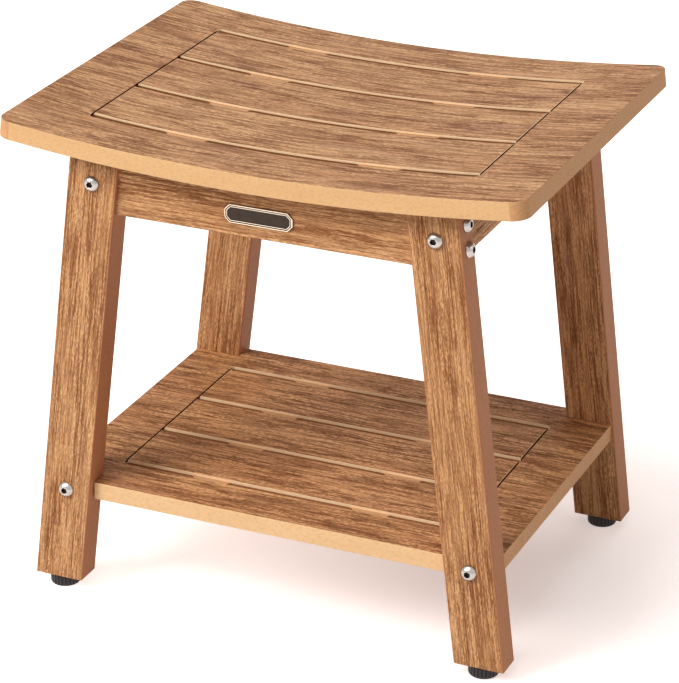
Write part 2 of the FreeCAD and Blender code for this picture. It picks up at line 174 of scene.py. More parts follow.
# %% Teak grain skin
def grain_skin(name, width, shares, pale, deep, smoke, dark):
    """Matte brown skin with its dark grain pressed in: width is the grain's in mm, and shares say how dark
    each kind of mark is."""
    made, tree = new_material(name)
    grain = add(tree, "ShaderNodeAttribute", attribute_name="grain").outputs["Vector"]
    slow = add(tree, "ShaderNodeMapping", {"Vector": grain, "Scale": per_mm(150, 40 * width, 45)})
    slow = add(tree, "ShaderNodeTexNoise", {"Vector": slow.outputs[0], "Scale": 1, "Detail": 3})
    sway = add(tree, "ShaderNodeVectorMath", {0: slow.outputs["Color"], 1: (0.5, 0.5, 0.5)},
               operation="SUBTRACT")
    sway = add(tree, "ShaderNodeVectorMath", {0: sway.outputs[0], 1: (0, 3 * MM, 0)}, operation="MULTIPLY")
    fibre = add(tree, "ShaderNodeVectorMath", {0: grain, 1: sway.outputs[0]}, operation="ADD").outputs[0]
    masks = {}
    for mask, size, detail, low, high in [
            ("broad", (200, 30 * width, 60), 2, 0.36, 0.64),    # tone from one hand's breadth to the next
            ("smoke", (100, 18 * width, 40), 4, 0.5, 0.74),     # patches where dark pigment gathered
            ("crowd", (90, 14 * width, 60), 2, 0.36, 0.62),     # where the grain is strong
            ("line", (110, 6 * width, 20), 3, 0.09, 0),         # long lines along the board
            ("dash", (20, 2.2 * width, 10), 2, 0.54, 0.59),     # dashes of pores, drawn wider than they are
            ("fine", (4, 1.4 * width, 5), 1, 0.48, 0.54)]:      # their short strokes in between
        mapped = add(tree, "ShaderNodeMapping", {"Vector": fibre, "Scale": per_mm(*size)}).outputs[0]
        noise = add(tree, "ShaderNodeTexNoise", {"Vector": mapped, "Scale": 1, "Detail": detail}).outputs[0]
        if mask == "line":
            noise = add(tree, "ShaderNodeMath", {0: noise, 1: 0.5}, operation="SUBTRACT").outputs[0]
            noise = add(tree, "ShaderNodeMath", {0: noise}, operation="ABSOLUTE").outputs[0]
        masks[mask] = add(tree, "ShaderNodeMapRange", {"Value": noise, "From Min": low, "From Max": high},
                          interpolation_type="SMOOTHSTEP").outputs[0]
    strong = add(tree, "ShaderNodeMath", {0: masks["crowd"], 1: 0.4, 2: 0.6},
                 operation="MULTIPLY_ADD").outputs[0]
    tone = add(tree, "ShaderNodeMix", {0: masks["broad"], 6: colour(pale), 7: colour(deep)},
               data_type="RGBA")
    weight = add(tree, "ShaderNodeMath", {0: masks["smoke"], 1: 0.4}, operation="MULTIPLY").outputs[0]
    tone = add(tree, "ShaderNodeMix", {0: weight, 6: tone.outputs[2], 7: colour(smoke)}, data_type="RGBA")
    relief = None
    for mask, share in shares.items():
        weight = add(tree, "ShaderNodeMath", {0: masks[mask], 1: strong}, operation="MULTIPLY").outputs[0]
        weight = add(tree, "ShaderNodeMath", {0: weight, 1: share}, operation="MULTIPLY").outputs[0]
        tone = add(tree, "ShaderNodeMix", {0: weight, 6: tone.outputs[2], 7: colour(dark)}, data_type="RGBA")
        if relief:
            weight = add(tree, "ShaderNodeMath", {0: weight, 1: relief}, operation="ADD").outputs[0]
        relief = weight
    return surface(made, tone.outputs[2], relief, gloss=(0.5, 0.75), strength=0.7, depth=0.25,
                   constants={"Specular IOR Level": 0.25}, invert=True)


plank_skin = grain_skin("teak_grain_plank", 0.62, {"fine": 0.5, "dash": 0.56, "line": 0.7},
                        "#EAB27C", "#DAA16C", "#98684A", "#74360A")
sheet_skin = grain_skin("teak_grain_sheet", 1.25, {"fine": 0.42, "dash": 0.52, "line": 0.65},
                        "#DCA776", "#CC9567", "#8A6150", "#623214")
shelf_skin = grain_skin("teak_grain_shelf", 1.25, {"fine": 0.5, "dash": 0.6, "line": 0.7},
                        "#E4A871", "#D49661", "#8C5E46", "#64300C")

# %% [markdown]
# ## The cut edges
# Where a board is sawn or routed, the skin is gone and the foamed core shows: plain, lighter, and finely
# speckled by its pores. Several copies of it hold painted light and shade: the upper walls of the grooves
# are painted paler as a painted highlight, the bridges' floors a little darker and the deeper walls of a
# slot brown as painted shade, a saw kerf is painted nearly black as the shade in its narrow cut, and the
# boards' ends and corners are darker than the long edges as painted shade. The legs' sides have a thin skin
# without grain, in a colour made darker and redder than the core as painted shade. The shelf's long edges
# and slot walls are painted lighter than the seat's, as painted light. All are one recipe with other
# colours: noise that clouds the colour, and fine noise for the pores, which also roughen the surface.

# %% Cut finishes
def cut_finish(name, pale, deep, pore, roughness, specular=0.5):
    """Core as a tool leaves it, clouded between two colours and speckled with pores."""
    made, tree = new_material(name)
    grain = add(tree, "ShaderNodeAttribute", attribute_name="grain").outputs["Vector"]
    cloud = add(tree, "ShaderNodeMapping", {"Vector": grain, "Scale": per_mm(45, 14, 14)}).outputs[0]
    cloud = add(tree, "ShaderNodeTexNoise", {"Vector": cloud, "Scale": 1, "Detail": 3}).outputs[0]
    pores = add(tree, "ShaderNodeMapping", {"Vector": grain, "Scale": per_mm(3.2, 2, 2)}).outputs[0]
    pores = add(tree, "ShaderNodeTexNoise", {"Vector": pores, "Scale": 1, "Detail": 2}).outputs[0]
    tone = add(tree, "ShaderNodeMix", {0: cloud, 6: colour(pale), 7: colour(deep)},
               data_type="RGBA").outputs[2]
    faint = add(tree, "ShaderNodeMapRange",
                {"Value": pores, "From Min": 0.45, "From Max": 0.7, "To Max": 0.4}).outputs[0]
    tone = add(tree, "ShaderNodeMix", {0: faint, 6: tone, 7: colour(pore)}, data_type="RGBA").outputs[2]
    return surface(made, tone, pores, gloss=(roughness - 0.1, roughness + 0.1), strength=0.3, depth=0.1,
                   constants={"Specular IOR Level": specular})


core = cut_finish("sawn_polystyrene_core", "#EDBE88", "#E1AF78", "#CC9968", 0.62, 0.35)
# Painted light: a paler copy of the core for the shelf's long edges, standing in for more light on them
shelf_core_light_paint = cut_finish("sawn_polystyrene_core_pale", "#F8CD9A", "#EDBF8A", "#D8A978", 0.62, 0.35)
# Painted highlight: the upper walls of the grooves are painted paler than the core, as if lit
groove_highlight_paint = cut_finish("routed_polystyrene_groove", "#FFDEB4", "#FBD2A2", "#ECC090", 0.62)
# Painted shade: the deeper walls of the slots are painted brown for the shade deep in them
slot_shade_paint = cut_finish("routed_polystyrene_slot", "#96623C", "#84532F", "#6A4024", 0.75, 0.2)
# Painted shade on the shelf's slot walls, lighter than the seat's, standing in for more light there
shelf_slot_shade_paint = cut_finish("routed_polystyrene_slot_pale", "#AE7449", "#9E663E", "#845030", 0.75, 0.2)
# Painted shade: the narrow saw kerf is painted nearly black for the shade inside it
kerf_shade_paint = cut_finish("scorched_saw_kerf", "#6A240C", "#521A08", "#361006", 0.85, 0.05)
# The legs' plain sides: their own colour, made darker and redder as painted shade
plain_side_with_painted_shade = cut_finish("plain_extruded_side", "#D08E64", "#C28058", "#AC6E4A", 0.5, 0.1)
# Painted shade: the bridges' floors are a darker copy of the core for the shade in the grooves
bridge_shade_paint = cut_finish("routed_polystyrene_bridge", "#D2A376", "#C7976B", "#B38359", 0.7, 0.3)
# Painted shade: the boards' ends and corners are a darker copy of the core
end_shade_paint = cut_finish("sanded_polystyrene_end", "#E2AA76", "#D69D6B", "#B88458", 0.6, 0.3)

# %% Finishes of a board, by number
SEAT_FINISHES = {"Skin": sheet_skin, "Core": core, "Slot": slot_shade_paint, "Kerf": kerf_shade_paint,
                 "Groove": groove_highlight_paint, "Bridge": bridge_shade_paint, "End": end_shade_paint}
SHELF_FINISHES = SEAT_FINISHES | {"Skin": shelf_skin, "Core": shelf_core_light_paint, "Slot": shelf_slot_shade_paint}
SKIN, CORE, SLOT, KERF, GROOVE, BRIDGE, END = range(len(SEAT_FINISHES))
RAIL_FINISHES = [plank_skin, plain_side_with_painted_shade]
GRAINED, PLAIN = range(len(RAIL_FINISHES))
print(len(SEAT_FINISHES), "finishes on a slotted board,", len(RAIL_FINISHES), "on a leg or apron")

# %% [markdown]
# ## Tools for making a board
# A board could start as a cube with a Boolean for every slot and a Bevel for every edge, but bevels break
# where slots meet. Here every outline is a loop of points instead, and an edge is rounded by setting the
# same loop in by a little at each step down. Loops joined to the next one make walls, and a triangulation
# between loops makes the flat faces. The parts share their points exactly, so merging them closes the
# board.

# %% A piece and its faces
MERGE_DISTANCE = 2e-6
SHARP_ANGLE = math.radians(35)


class Piece:
    """Gathers the faces of one piece, each with the number of its finish."""

    def __init__(self):
        self.points, self.faces, self.finishes = [], [], []

    def face(self, points, finish):
        start = len(self.points)
        self.points += points
        self.faces.append(list(range(start, start + len(points))))
        self.finishes.append(finish)

    def walls(self, rings, finish):
        """Joins closed rings one after the other; finish is a number, or gives one for a face's points."""
        for one, other in zip(rings, rings[1:]):
            for i in range(len(one)):
                j = (i + 1) % len(one)
                quad = [one[i], one[j], other[j], other[i]]
                self.face(quad, finish(quad) if callable(finish) else finish)

    def flat(self, loops, height, finish, spacing=None):
        """Fills the room between the first loop and the ones inside it."""
        for triangle in triangles(loops, spacing):
            self.face([(x, y, height) for x, y in triangle], finish)

    def mesh(self, name, finishes, grain_of):
        """Closed mesh with its normals outward, its finishes and the grain attribute."""
        made = bpy.data.meshes.new(name)
        made.from_pydata(self.points, [], self.faces)
        for finish in finishes:
            made.materials.append(finish)
        made.polygons.foreach_set("material_index", self.finishes)
        shape = bmesh.new()
        shape.from_mesh(made)
        bmesh.ops.remove_doubles(shape, verts=shape.verts, dist=MERGE_DISTANCE)
        bmesh.ops.dissolve_degenerate(shape, edges=shape.edges, dist=MERGE_DISTANCE / 2)
        bmesh.ops.recalc_face_normals(shape, faces=shape.faces)
        open_edges = sum(not edge.is_manifold for edge in shape.edges)
        shape.to_mesh(made)
        shape.free()
        grain = made.attributes.new("grain", "FLOAT_VECTOR", "POINT")
        grain.data.foreach_set("vector", [c for v in made.vertices for c in grain_of(v.co)])
        made.shade_smooth()
        made.set_sharp_from_angle(angle=SHARP_ANGLE)
        print(name, len(made.polygons), "faces,", open_edges, "open edges")
        return made


print("pieces merge points closer than", MERGE_DISTANCE, "m")

# %% Loops
def inset(loop, distance):
    """Moves a counter-clockwise loop inwards, or outwards if the distance is negative."""
    points = np.array(loop)
    steps = np.roll(points, -1, 0) - points
    steps /= np.linalg.norm(steps, axis=1)[:, None]
    after = np.stack([-steps[:, 1], steps[:, 0]], 1)
    before = np.roll(after, 1, 0)
    share = 1 + (before * after).sum(1)
    return [tuple(p) for p in points + distance * (before + after) / share[:, None]]


def closed(points):
    """A loop without the points that repeat the one before."""
    return [p for i, p in enumerate(points) if math.dist(p, points[i - 1]) > 1e-7]


def all_round(quarter):
    """A loop that is alike left and right, front and back, from the corners of its first quarter."""
    half = quarter + [(-x, y) for x, y in quarter[::-1]]
    return half + [(-x, -y) for x, y in half]


print("loop helpers ready")

# %% Faces between loops
GRID_CLEARANCE = 0.6


def inside(points, loops):
    """Whether each point is within an odd number of loops."""
    odd = np.zeros(len(points), bool)
    for loop in loops:
        for (x0, y0), (x1, y1) in zip(loop, loop[1:] + loop[:1]):
            if y0 != y1:
                crosses = (points[:, 1] >= min(y0, y1)) & (points[:, 1] < max(y0, y1))
                odd ^= crosses & (points[:, 0] < x0 + (points[:, 1] - y0) * (x1 - x0) / (y1 - y0))
    return odd


def triangles(loops, spacing=None):
    """Delaunay triangles between loops, with a grid of extra points where the face will be bent."""
    corners = [p for loop in loops for p in loop]
    edges, start = [], 0
    for loop in loops:
        edges += [(start + i, start + (i + 1) % len(loop)) for i in range(len(loop))]
        start += len(loop)
    if spacing:
        spans = zip(np.min(loops[0], 0), np.max(loops[0], 0))
        grid = np.stack(np.meshgrid(*[np.arange(a + spacing / 2, b, spacing) for a, b in spans]), -1)
        grid = grid.reshape(-1, 2)
        rim = np.array(corners)
        nearest = np.array([((rim - p) ** 2).sum(1).min() for p in grid])
        grid = grid[inside(grid, loops) & (nearest > (GRID_CLEARANCE * spacing) ** 2)]
        corners = corners + [tuple(p) for p in grid]
    found = delaunay_2d_cdt([Vector(p) / MM for p in corners], edges, [], 0, 1e-5)
    places = np.array([list(p) for p in found[0]]) * MM
    for i, sources in enumerate(found[3]):
        if sources:
            places[i] = corners[sources[0]]
    picks = np.array(found[2])
    kept = picks[inside(places[picks].mean(1), loops)]
    return [[tuple(places[i]) for i in pick] for pick in kept]


print("grid points keep", GRID_CLEARANCE, "of the grid's spacing from a loop")

# %% Edges and rectangles
LONGEST_STEP = 8 * MM


def rounding(radius, steps=4):
    """(distance in, distance down) along a rounded edge, from the flat face to the side."""
    turns = [math.pi / 2 * i / steps for i in range(steps + 1)]
    return [(radius * (1 - math.sin(t)), radius * (1 - math.cos(t))) for t in turns]


def edge_rings(loop, radius, way, top=0.0, up=-1):
    """The loop along its rounded edge, way 1 for a rim and -1 for a hole."""
    return [[(x, y, top + up * down) for x, y in inset(loop, way * d)] for d, down in rounding(radius)]


def run(start, stop, step=LONGEST_STEP):
    """Numbers from start to stop, no further apart than step."""
    count = max(1, math.ceil(abs(stop - start) / step - 1e-9))
    return [start + (stop - start) * i / count for i in range(count + 1)]


def rounded_rectangle(half_x, half_y, radius, turns=10):
    """Counter-clockwise loop from the corner at the right front, with extra points along the sides."""
    loop = []
    x_end, y_end = half_x - radius, half_y - radius
    for quarter, (sx, sy) in enumerate([(1, -1), (1, 1), (-1, 1), (-1, -1)]):
        for i in range(turns + 1):
            t = math.pi / 2 * (quarter - 1 + i / turns)
            loop.append((sx * x_end + radius * math.cos(t), sy * y_end + radius * math.sin(t)))
        x, y = loop[-1]
        if sx * sy < 0:
            loop += [(x, step) for step in run(y, sx * y_end)[1:-1]]
        else:
            loop += [(step, y) for step in run(x, -sx * x_end)[1:-1]]
    return closed(loop)


print("edges are rounded in", len(rounding(1)) - 1, "steps")

# %% [markdown]
# ## Drain slots
# Each board has four long slots. A cutter first ran the whole length 2 mm deep, then went right through
# except at two short bridges that keep the slats in line. A thin saw kerf joins the slot ends across the
# board, so that the middle looks like separate slats in a frame. The outline of all that is one rounded
# rectangle round three islands, and the loops below are drawn from the same angles and steps everywhere, so
# that floors and walls meet point to point.

# %% Ends of the slots
SLOT_RADIUS = 4 * MM
SLOT_ROWS = 4
KERF_WIDTH = 1.6 * MM
KERF_ANGLE = math.degrees(math.acos(1 - KERF_WIDTH / SLOT_RADIUS))
QUARTER = [KERF_ANGLE * i / 4 for i in range(5)]
QUARTER += [KERF_ANGLE + (90 - KERF_ANGLE) * i / 3 for i in (1, 2, 3)]
ANGLES = sorted({round(s * a + o, 6) for a in QUARTER for s in (1, -1) for o in (-360, -180, 0, 180, 360)})


def arc(x, y, start, stop):
    """Points round a slot's end from one angle to another."""
    low, high = sorted((start, stop))
    turns = [math.radians(a) for a in ANGLES if low - 1e-4 <= a <= high + 1e-4]
    turns = turns[::-1] if stop < start else turns
    return [(x + SLOT_RADIUS * math.cos(t), y + SLOT_RADIUS * math.sin(t)) for t in turns]


def slot_rows(pitch):
    """Where the slots lie across the board."""
    return [(k - (SLOT_ROWS - 1) / 2) * pitch for k in range(SLOT_ROWS)]


print(SLOT_ROWS, "slots a board, kerf meets a slot at", round(KERF_ANGLE, 1), "degrees")

# %% Loops of the slots
def slot_loops(rows, half, inner, outer):
    """Loops of a board's slots: half is a slot's half length, and a bridge lies from inner to outer."""
    r, end, kerf = SLOT_RADIUS, half - SLOT_RADIUS, half - KERF_WIDTH
    stops = [-end, -(outer + r), -(inner - r), inner - r, outer + r, end]
    side = [x for a, b in zip(stops, stops[1:]) for x in run(a, b)[:-1]] + [end]
    lift = r * math.sin(math.radians(KERF_ANGLE))

    def strip(low, high, y, right, left):
        """Loop of one length of a slot, whose ends are arcs from these angles."""
        part = [x for x in side if low - 1e-7 <= x <= high + 1e-7]
        front, back = [(x, y - r) for x in part], [(x, y + r) for x in part[::-1]]
        return closed(front + arc(high, y, *right) + back + arc(low, y, *left))

    edge_y = [y for a, b in zip(rows, rows[1:]) for y in [a] + run(a + lift, b - lift)] + [rows[-1]]
    ladder = [(x, rows[0] - r) for x in side] + arc(end, rows[0], -90, 0) + [(half, y) for y in edge_y]
    ladder += arc(end, rows[-1], 0, 90) + [(x, rows[-1] + r) for x in side[::-1]]
    ladder += arc(-end, rows[-1], 90, 180) + [(-half, y) for y in edge_y[::-1]]
    ladder += arc(-end, rows[0], 180, 270)
    islands, kerfs, bridges, holes = [], [], [], []
    for low, high in zip(rows, rows[1:]):
        upright = run(low + lift, high - lift)
        island = [(x, low + r) for x in side] + arc(end, low, 90, KERF_ANGLE) + [(kerf, y) for y in upright]
        island += arc(end, high, -KERF_ANGLE, -90) + [(x, high - r) for x in side[::-1]]
        island += arc(-end, high, 270, 180 + KERF_ANGLE) + [(-kerf, y) for y in upright[::-1]]
        islands.append(closed(island + arc(-end, low, 180 - KERF_ANGLE, 90)))
        floor = arc(end, low, KERF_ANGLE, 0) + [(half, y) for y in [low] + upright + [high]]
        floor = closed(floor + arc(end, high, 0, -KERF_ANGLE) + [(kerf, y) for y in upright[::-1]])
        kerfs += [floor, [(-x, y) for x, y in floor[::-1]]]
    for y in rows:
        for i in (0, 2, 4):
            holes.append(strip(stops[i], stops[i + 1], y, (-90, 90), (90, 270)))
        for i in (1, 3):
            bridges.append(strip(stops[i], stops[i + 1], y, (270, 90), (90, -90)))
    return closed(ladder), islands, kerfs, bridges, holes


print("slot loops ready")

# %% Slotted boards
GROOVE_DEPTH = 2 * MM
SLOT_EDGE = 0.35 * MM
TOP_EDGE = 0.8 * MM
LOW_EDGE = 0.5 * MM
END_SLOPE = 0.05
TINY = 1e-6


def slotted_board(outline, thickness, pitch, half, bridge, pale, spacing=None):
    """A flat board with its top at zero: half is a slot's half length, bridge is where a bridge starts and
    ends, and the slots' walls carry a painted highlight down to the depth pale, and painted shade below it."""
    piece, rows, kerf = Piece(), slot_rows(pitch), half - KERF_WIDTH
    ladder, islands, kerfs, bridges, holes = slot_loops(rows, half, *bridge)

    def groove_finish(points):
        """Painted highlight, then the slot's painted shade, but in a saw kerf skin on its rim and the kerf's
        painted shade below it.
        """
        if any(abs(x) < kerf - TINY or not rows[0] - TINY < y < rows[-1] + TINY for x, y, z in points):
            return GROOVE if all(z > -pale - TINY for x, y, z in points) else SLOT
        return KERF if all(z < -SLOT_EDGE + TINY for x, y, z in points) else SKIN

    def edge_finish(points):
        """Core along the board, and the ends' painted shade where the outline turns away from its length."""
        (x0, y0, _), (x1, y1, _) = points[:2]
        return END if abs(y1 - y0) > END_SLOPE * math.dist((x0, y0), (x1, y1)) else CORE

    def at(loop, height):
        return [(x, y, height) for x, y in loop]

    upper = edge_rings(outline, TOP_EDGE, 1)
    lower = edge_rings(outline, LOW_EDGE, 1, -thickness, 1)[::-1]
    piece.walls(upper[:3], SKIN)
    piece.walls(upper[2:] + lower[:3], edge_finish)
    piece.walls(lower[2:], SKIN)
    steps = [d for d in (pale, GROOVE_DEPTH) if d <= GROOVE_DEPTH]
    piece.walls(edge_rings(ladder, SLOT_EDGE, -1) + [at(ladder, -d) for d in steps], groove_finish)
    piece.flat([inset(outline, TOP_EDGE), inset(ladder, -SLOT_EDGE)], 0, SKIN, spacing)
    for island in islands:
        piece.walls(edge_rings(island, SLOT_EDGE, 1) + [at(island, -d) for d in steps], groove_finish)
        piece.flat([inset(island, SLOT_EDGE)], 0, SKIN, spacing)
    for floors, finish in ((bridges, BRIDGE), (kerfs, KERF)):
        for floor in floors:
            piece.flat([floor], -GROOVE_DEPTH, finish)
    for hole in holes:
        upright = [at(hole, -d) for d in (GROOVE_DEPTH, pale) if d >= GROOVE_DEPTH]
        piece.walls(upright, GROOVE)
        piece.walls(upright[-1:] + edge_rings(hole, SLOT_EDGE, -1, -thickness, 1)[::-1], SLOT)
    under = [inset(outline, LOW_EDGE)] + [inset(hole, -SLOT_EDGE) for hole in holes]
    piece.flat(under, -thickness, SKIN, spacing)
    return piece


print("grooves are", GROOVE_DEPTH / MM, "mm deep")

# %% [markdown]
# ## From modifiers to a plain mesh
# A modifier stack is handy while a piece is made, but what leaves the lesson has to be a plain mesh.
# Evaluating the object and copying the result does that. Weighted normals go last on every board: they let
# the large flat faces decide the shading, so that the narrow rounded edges catch a line of light without
# smearing it over the faces. Each finished piece then rides its body in the frame and takes the place of
# its CAD solid.

# %% Finishing helpers
def put_in_scene(name, data):
    made = bpy.data.objects.new(name, data)
    bpy.context.scene.collection.objects.link(made)
    return made


def settle(piece, weighted=True):
    """Turns a piece with modifiers into a plain mesh."""
    if weighted:
        normals = piece.modifiers.new("weighted normals", "WEIGHTED_NORMAL")
        normals.mode = "FACE_AREA"
        normals.weight = 100
        normals.keep_sharp = True
    graph = bpy.context.evaluated_depsgraph_get()
    mesh = bpy.data.meshes.new_from_object(piece.evaluated_get(graph), preserve_all_data_layers=True,
                                           depsgraph=graph)
    piece.modifiers.clear()
    piece.data = mesh
    mesh.name = piece.name
    return piece


def dress(piece, body, slot, *nodes):
    """Puts a finished piece on its body in place of its CAD nodes, and prints how far their boxes differ."""
    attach(piece, body)
    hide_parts(*nodes)
    places = np.array([v.co for v in piece.data.vertices])
    low, high = np.min([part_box(n)[0] for n in nodes], 0), np.max([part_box(n)[1] for n in nodes], 0)
    off = np.abs([places.min(0) - low, places.max(0) - high]).max() / MM
    print(piece.name, len(piece.data.polygons), "faces, box within", round(off, 2), "mm of", *nodes)


print("finishing helpers ready")

# %% [markdown]
# ## Trees that shape a piece
# Three pieces of the bench follow a rule, and Geometry Nodes make those. Every tree starts with its named
# inputs, which a modifier sets by their identifiers, and ends by making its copies real and giving them
# materials. A face attribute called "finish" holds a number that tells the tree which material a face gets.

# %% Start and end of a tree
def new_tree(name, inputs, output):
    """A tree with these inputs, each a name and a kind of socket, and with one geometry as its output."""
    tree = bpy.data.node_groups.new(name, "GeometryNodeTree")
    for label, kind in inputs.items():
        tree.interface.new_socket(label, in_out="INPUT", socket_type=f"NodeSocket{kind}")
    tree.interface.new_socket(output, in_out="OUTPUT", socket_type="NodeSocketGeometry")
    return tree, add(tree, "NodeGroupInput").outputs


def number_faces(mesh):
    """Writes the number of each face's finish to an attribute that a tree can read."""
    numbers = mesh.attributes.new("finish", "INT", "FACE")
    numbers.data.foreach_set("value", [f.material_index for f in mesh.polygons])


def finish_faces(tree, shape, materials):
    """Ends a tree: its copies made real, and each face given the material that its number picks."""
    shape = add(tree, "GeometryNodeRealizeInstances", {0: shape}).outputs[0]
    number = add(tree, "GeometryNodeInputNamedAttribute", {"Name": "finish"}, data_type="INT").outputs[0]
    for i, finish in enumerate(materials):
        same = add(tree, "FunctionNodeCompare", {2: number, 3: i}, data_type="INT",
                   operation="EQUAL").outputs[0]
        shape = add(tree, "GeometryNodeSetMaterial",
                    {"Geometry": shape, "Selection": same, "Material": finish}).outputs[0]
    add(tree, "NodeGroupOutput", {0: shape})
    print(tree.name, len(tree.nodes), "nodes")


def use_tree(piece, tree, values):
    """Puts a tree on a piece, with its inputs set by their identifiers."""
    modifier = piece.modifiers.new(tree.name, "NODES")
    modifier.node_group = tree
    for item in tree.interface.items_tree:
        if item.in_out == "INPUT" and item.name in values:
            modifier[item.identifier] = values[item.name]


print("tree helpers ready")

# %% [markdown]
# ## The seat
# The seat is made flat, slots and all, and then bent, as the factory does with a warm board over a former.
# The bend follows a rule, so Geometry Nodes do it: the distance along the board becomes an angle, and the
# depth in the board is added to the radius. The rule keeps the ends square to the board. A Simple Deform
# modifier could bend it too, but it hides the radius behind an angle.

# %% Bend over a former
bend_inputs = {"Board": "Geometry", "Bend radius": "Float", "Centre height": "Float"}
bend_inputs |= dict.fromkeys(SEAT_FINISHES, "Material")
bend, given = new_tree("bend_over_a_former", bend_inputs, "Seat")
spot = add(bend, "ShaderNodeSeparateXYZ", {0: add(bend, "GeometryNodeInputPosition").outputs[0]}).outputs
angle = add(bend, "ShaderNodeMath", {0: spot["X"], 1: given["Bend radius"]}, operation="DIVIDE").outputs[0]
reach = add(bend, "ShaderNodeMath", {0: given["Bend radius"], 1: spot["Z"]}, operation="SUBTRACT").outputs[0]
sine = add(bend, "ShaderNodeMath", {0: angle}, operation="SINE").outputs[0]
cosine = add(bend, "ShaderNodeMath", {0: angle}, operation="COSINE").outputs[0]
out = add(bend, "ShaderNodeMath", {0: reach, 1: sine}, operation="MULTIPLY").outputs[0]
drop = add(bend, "ShaderNodeMath", {0: reach, 1: cosine}, operation="MULTIPLY").outputs[0]
rise = add(bend, "ShaderNodeMath", {0: given["Centre height"], 1: drop}, operation="SUBTRACT").outputs[0]
bent = add(bend, "ShaderNodeCombineXYZ", {"X": out, "Y": spot["Y"], "Z": rise}).outputs[0]
moved = add(bend, "GeometryNodeSetPosition", {"Geometry": given["Board"], "Position": bent}).outputs[0]
finish_faces(bend, moved, [given[name] for name in SEAT_FINISHES])

# %% Seat
SEAT_CORNER = 13 * MM
SEAT_SLOT_HALF = 172 * MM
SEAT_SLOT_PITCH = 80 * MM
SEAT_BRIDGE = (68 * MM, 102 * MM)
# Painted highlight on the seat's slot walls down to this depth, painted shade below it
SEAT_HIGHLIGHT_PAINT_DEPTH = 1.7 * MM


def along_bend(x):
    """Distance along the seat's top for a straight distance from its middle."""
    return BEND_RADIUS * math.asin(x / BEND_RADIUS)


seat_outline = rounded_rectangle(along_bend(SEAT_HALF_LENGTH), SEAT_HALF_DEPTH, SEAT_CORNER)
flat_seat = slotted_board(seat_outline, SEAT_THICKNESS, SEAT_SLOT_PITCH, along_bend(SEAT_SLOT_HALF),
                          [along_bend(x) for x in SEAT_BRIDGE], SEAT_HIGHLIGHT_PAINT_DEPTH, spacing=LONGEST_STEP)
seat_mesh = flat_seat.mesh("seat", SEAT_FINISHES.values(), lambda p: (p.x, p.y, p.z))
number_faces(seat_mesh)
seat = put_in_scene("seat", seat_mesh)
use_tree(seat, bend, {"Bend radius": BEND_RADIUS, "Centre height": BEND_CENTRE} | SEAT_FINISHES)
dress(settle(seat), "frame", "poly_lumber", "seat_panel")

# %% [markdown]
# ## The shelf
# The shelf is the same board without the bend. Its corners are notched round the legs, so its outline is a
# polygon of twelve corners. The legs lean, but the notch is cut square, as a saw leaves it. The grain of
# the shelf, and of every board after it, starts at a place of its own in the pattern, so that no two boards
# are alike.

# %% Shelf
SHELF_HALF_LENGTH = 204.963 * MM
SHELF_FRONT_INSET = 7.5 * MM
SHELF_SLOT_MARGIN = 48 * MM
SHELF_SLOT_PITCH = 71 * MM
SHELF_BRIDGE_MARGIN = 82.5 * MM
SHELF_BRIDGE_LENGTH = 31.5 * MM
# Painted highlight on the shelf's slot walls down to this depth, painted shade below it
SHELF_HIGHLIGHT_PAINT_DEPTH = 2.6 * MM
SHELF_GRAIN = (0.9, 0.43)
NOTCH_GAP = 0.4 * MM
OUTLINE_STEP = 20 * MM


def leg_inner_face(z):
    """Distance from the bench's middle plane to the inner side of a leg at this height."""
    return leg_middle(z) - LEG_HALF_SLICE


slot_half = SHELF_HALF_LENGTH - SHELF_SLOT_MARGIN
bridge_middle = slot_half - SHELF_BRIDGE_MARGIN
bridge = (bridge_middle - SHELF_BRIDGE_LENGTH / 2, bridge_middle + SHELF_BRIDGE_LENGTH / 2)
notch = (leg_inner_face(SHELF_TOP) - NOTCH_GAP, LEG_INNER)
corners = all_round([(SHELF_HALF_LENGTH, notch[1]), notch, (notch[0], LEG_FRONT - SHELF_FRONT_INSET)])
shelf_outline = []
for (x0, y0), (x1, y1) in zip(corners, corners[1:] + corners[:1]):
    count = len(run(0, math.dist((x0, y0), (x1, y1)), OUTLINE_STEP)) - 1
    shelf_outline += [(x0 + (x1 - x0) * i / count, y0 + (y1 - y0) * i / count) for i in range(count)]
flat_shelf = slotted_board(shelf_outline, SHELF_THICKNESS, SHELF_SLOT_PITCH, slot_half, bridge,
                           SHELF_HIGHLIGHT_PAINT_DEPTH)
shelf_mesh = flat_shelf.mesh("shelf", SHELF_FINISHES.values(),
                             lambda p: (p.x + SHELF_GRAIN[0], p.y + SHELF_GRAIN[1], p.z))
shelf_mesh.transform(Matrix.Translation((0, 0, SHELF_TOP)))
dress(settle(put_in_scene("shelf", shelf_mesh)), "frame", "poly_lumber", "shelf_panel")

# %% [markdown]
# ## Legs
# A leg is a plank that leans outwards, sawn level at the foot and cut to the seat's curve at the top. Its
# front and back faces have the grain, and its sides are plain. Its section is a rounded rectangle, carried
# up the leg in rings: each point of the section climbs the same slope and stops where it meets the seat. A
# hole in the lower end takes the threaded insert of the foot.

# %% Points of a leg
LEG_MIDDLE_Y = LEG_FRONT - LEG_THICKNESS / 2
CURVE_TRIES = 6


def leg_point(side, end, across, deep, z):
    """A point of a leg: across is square to its lean, deep runs from its middle to the front or back."""
    return (side * (leg_middle(z) + across / math.cos(LEAN)), end * LEG_MIDDLE_Y + deep, z)


def meet_seat(side, end, across, deep):
    """Where that line of a leg meets the seat's underside, found by trying again from each new height."""
    z = SEAT_END_HEIGHT
    for _ in range(CURVE_TRIES):
        z = under_seat(leg_point(side, end, across, deep, z)[0])
    return z


print("outer edge of a leg meets the seat at", round(meet_seat(1, 1, LEG_WIDTH / 2, 0), 4), "m")

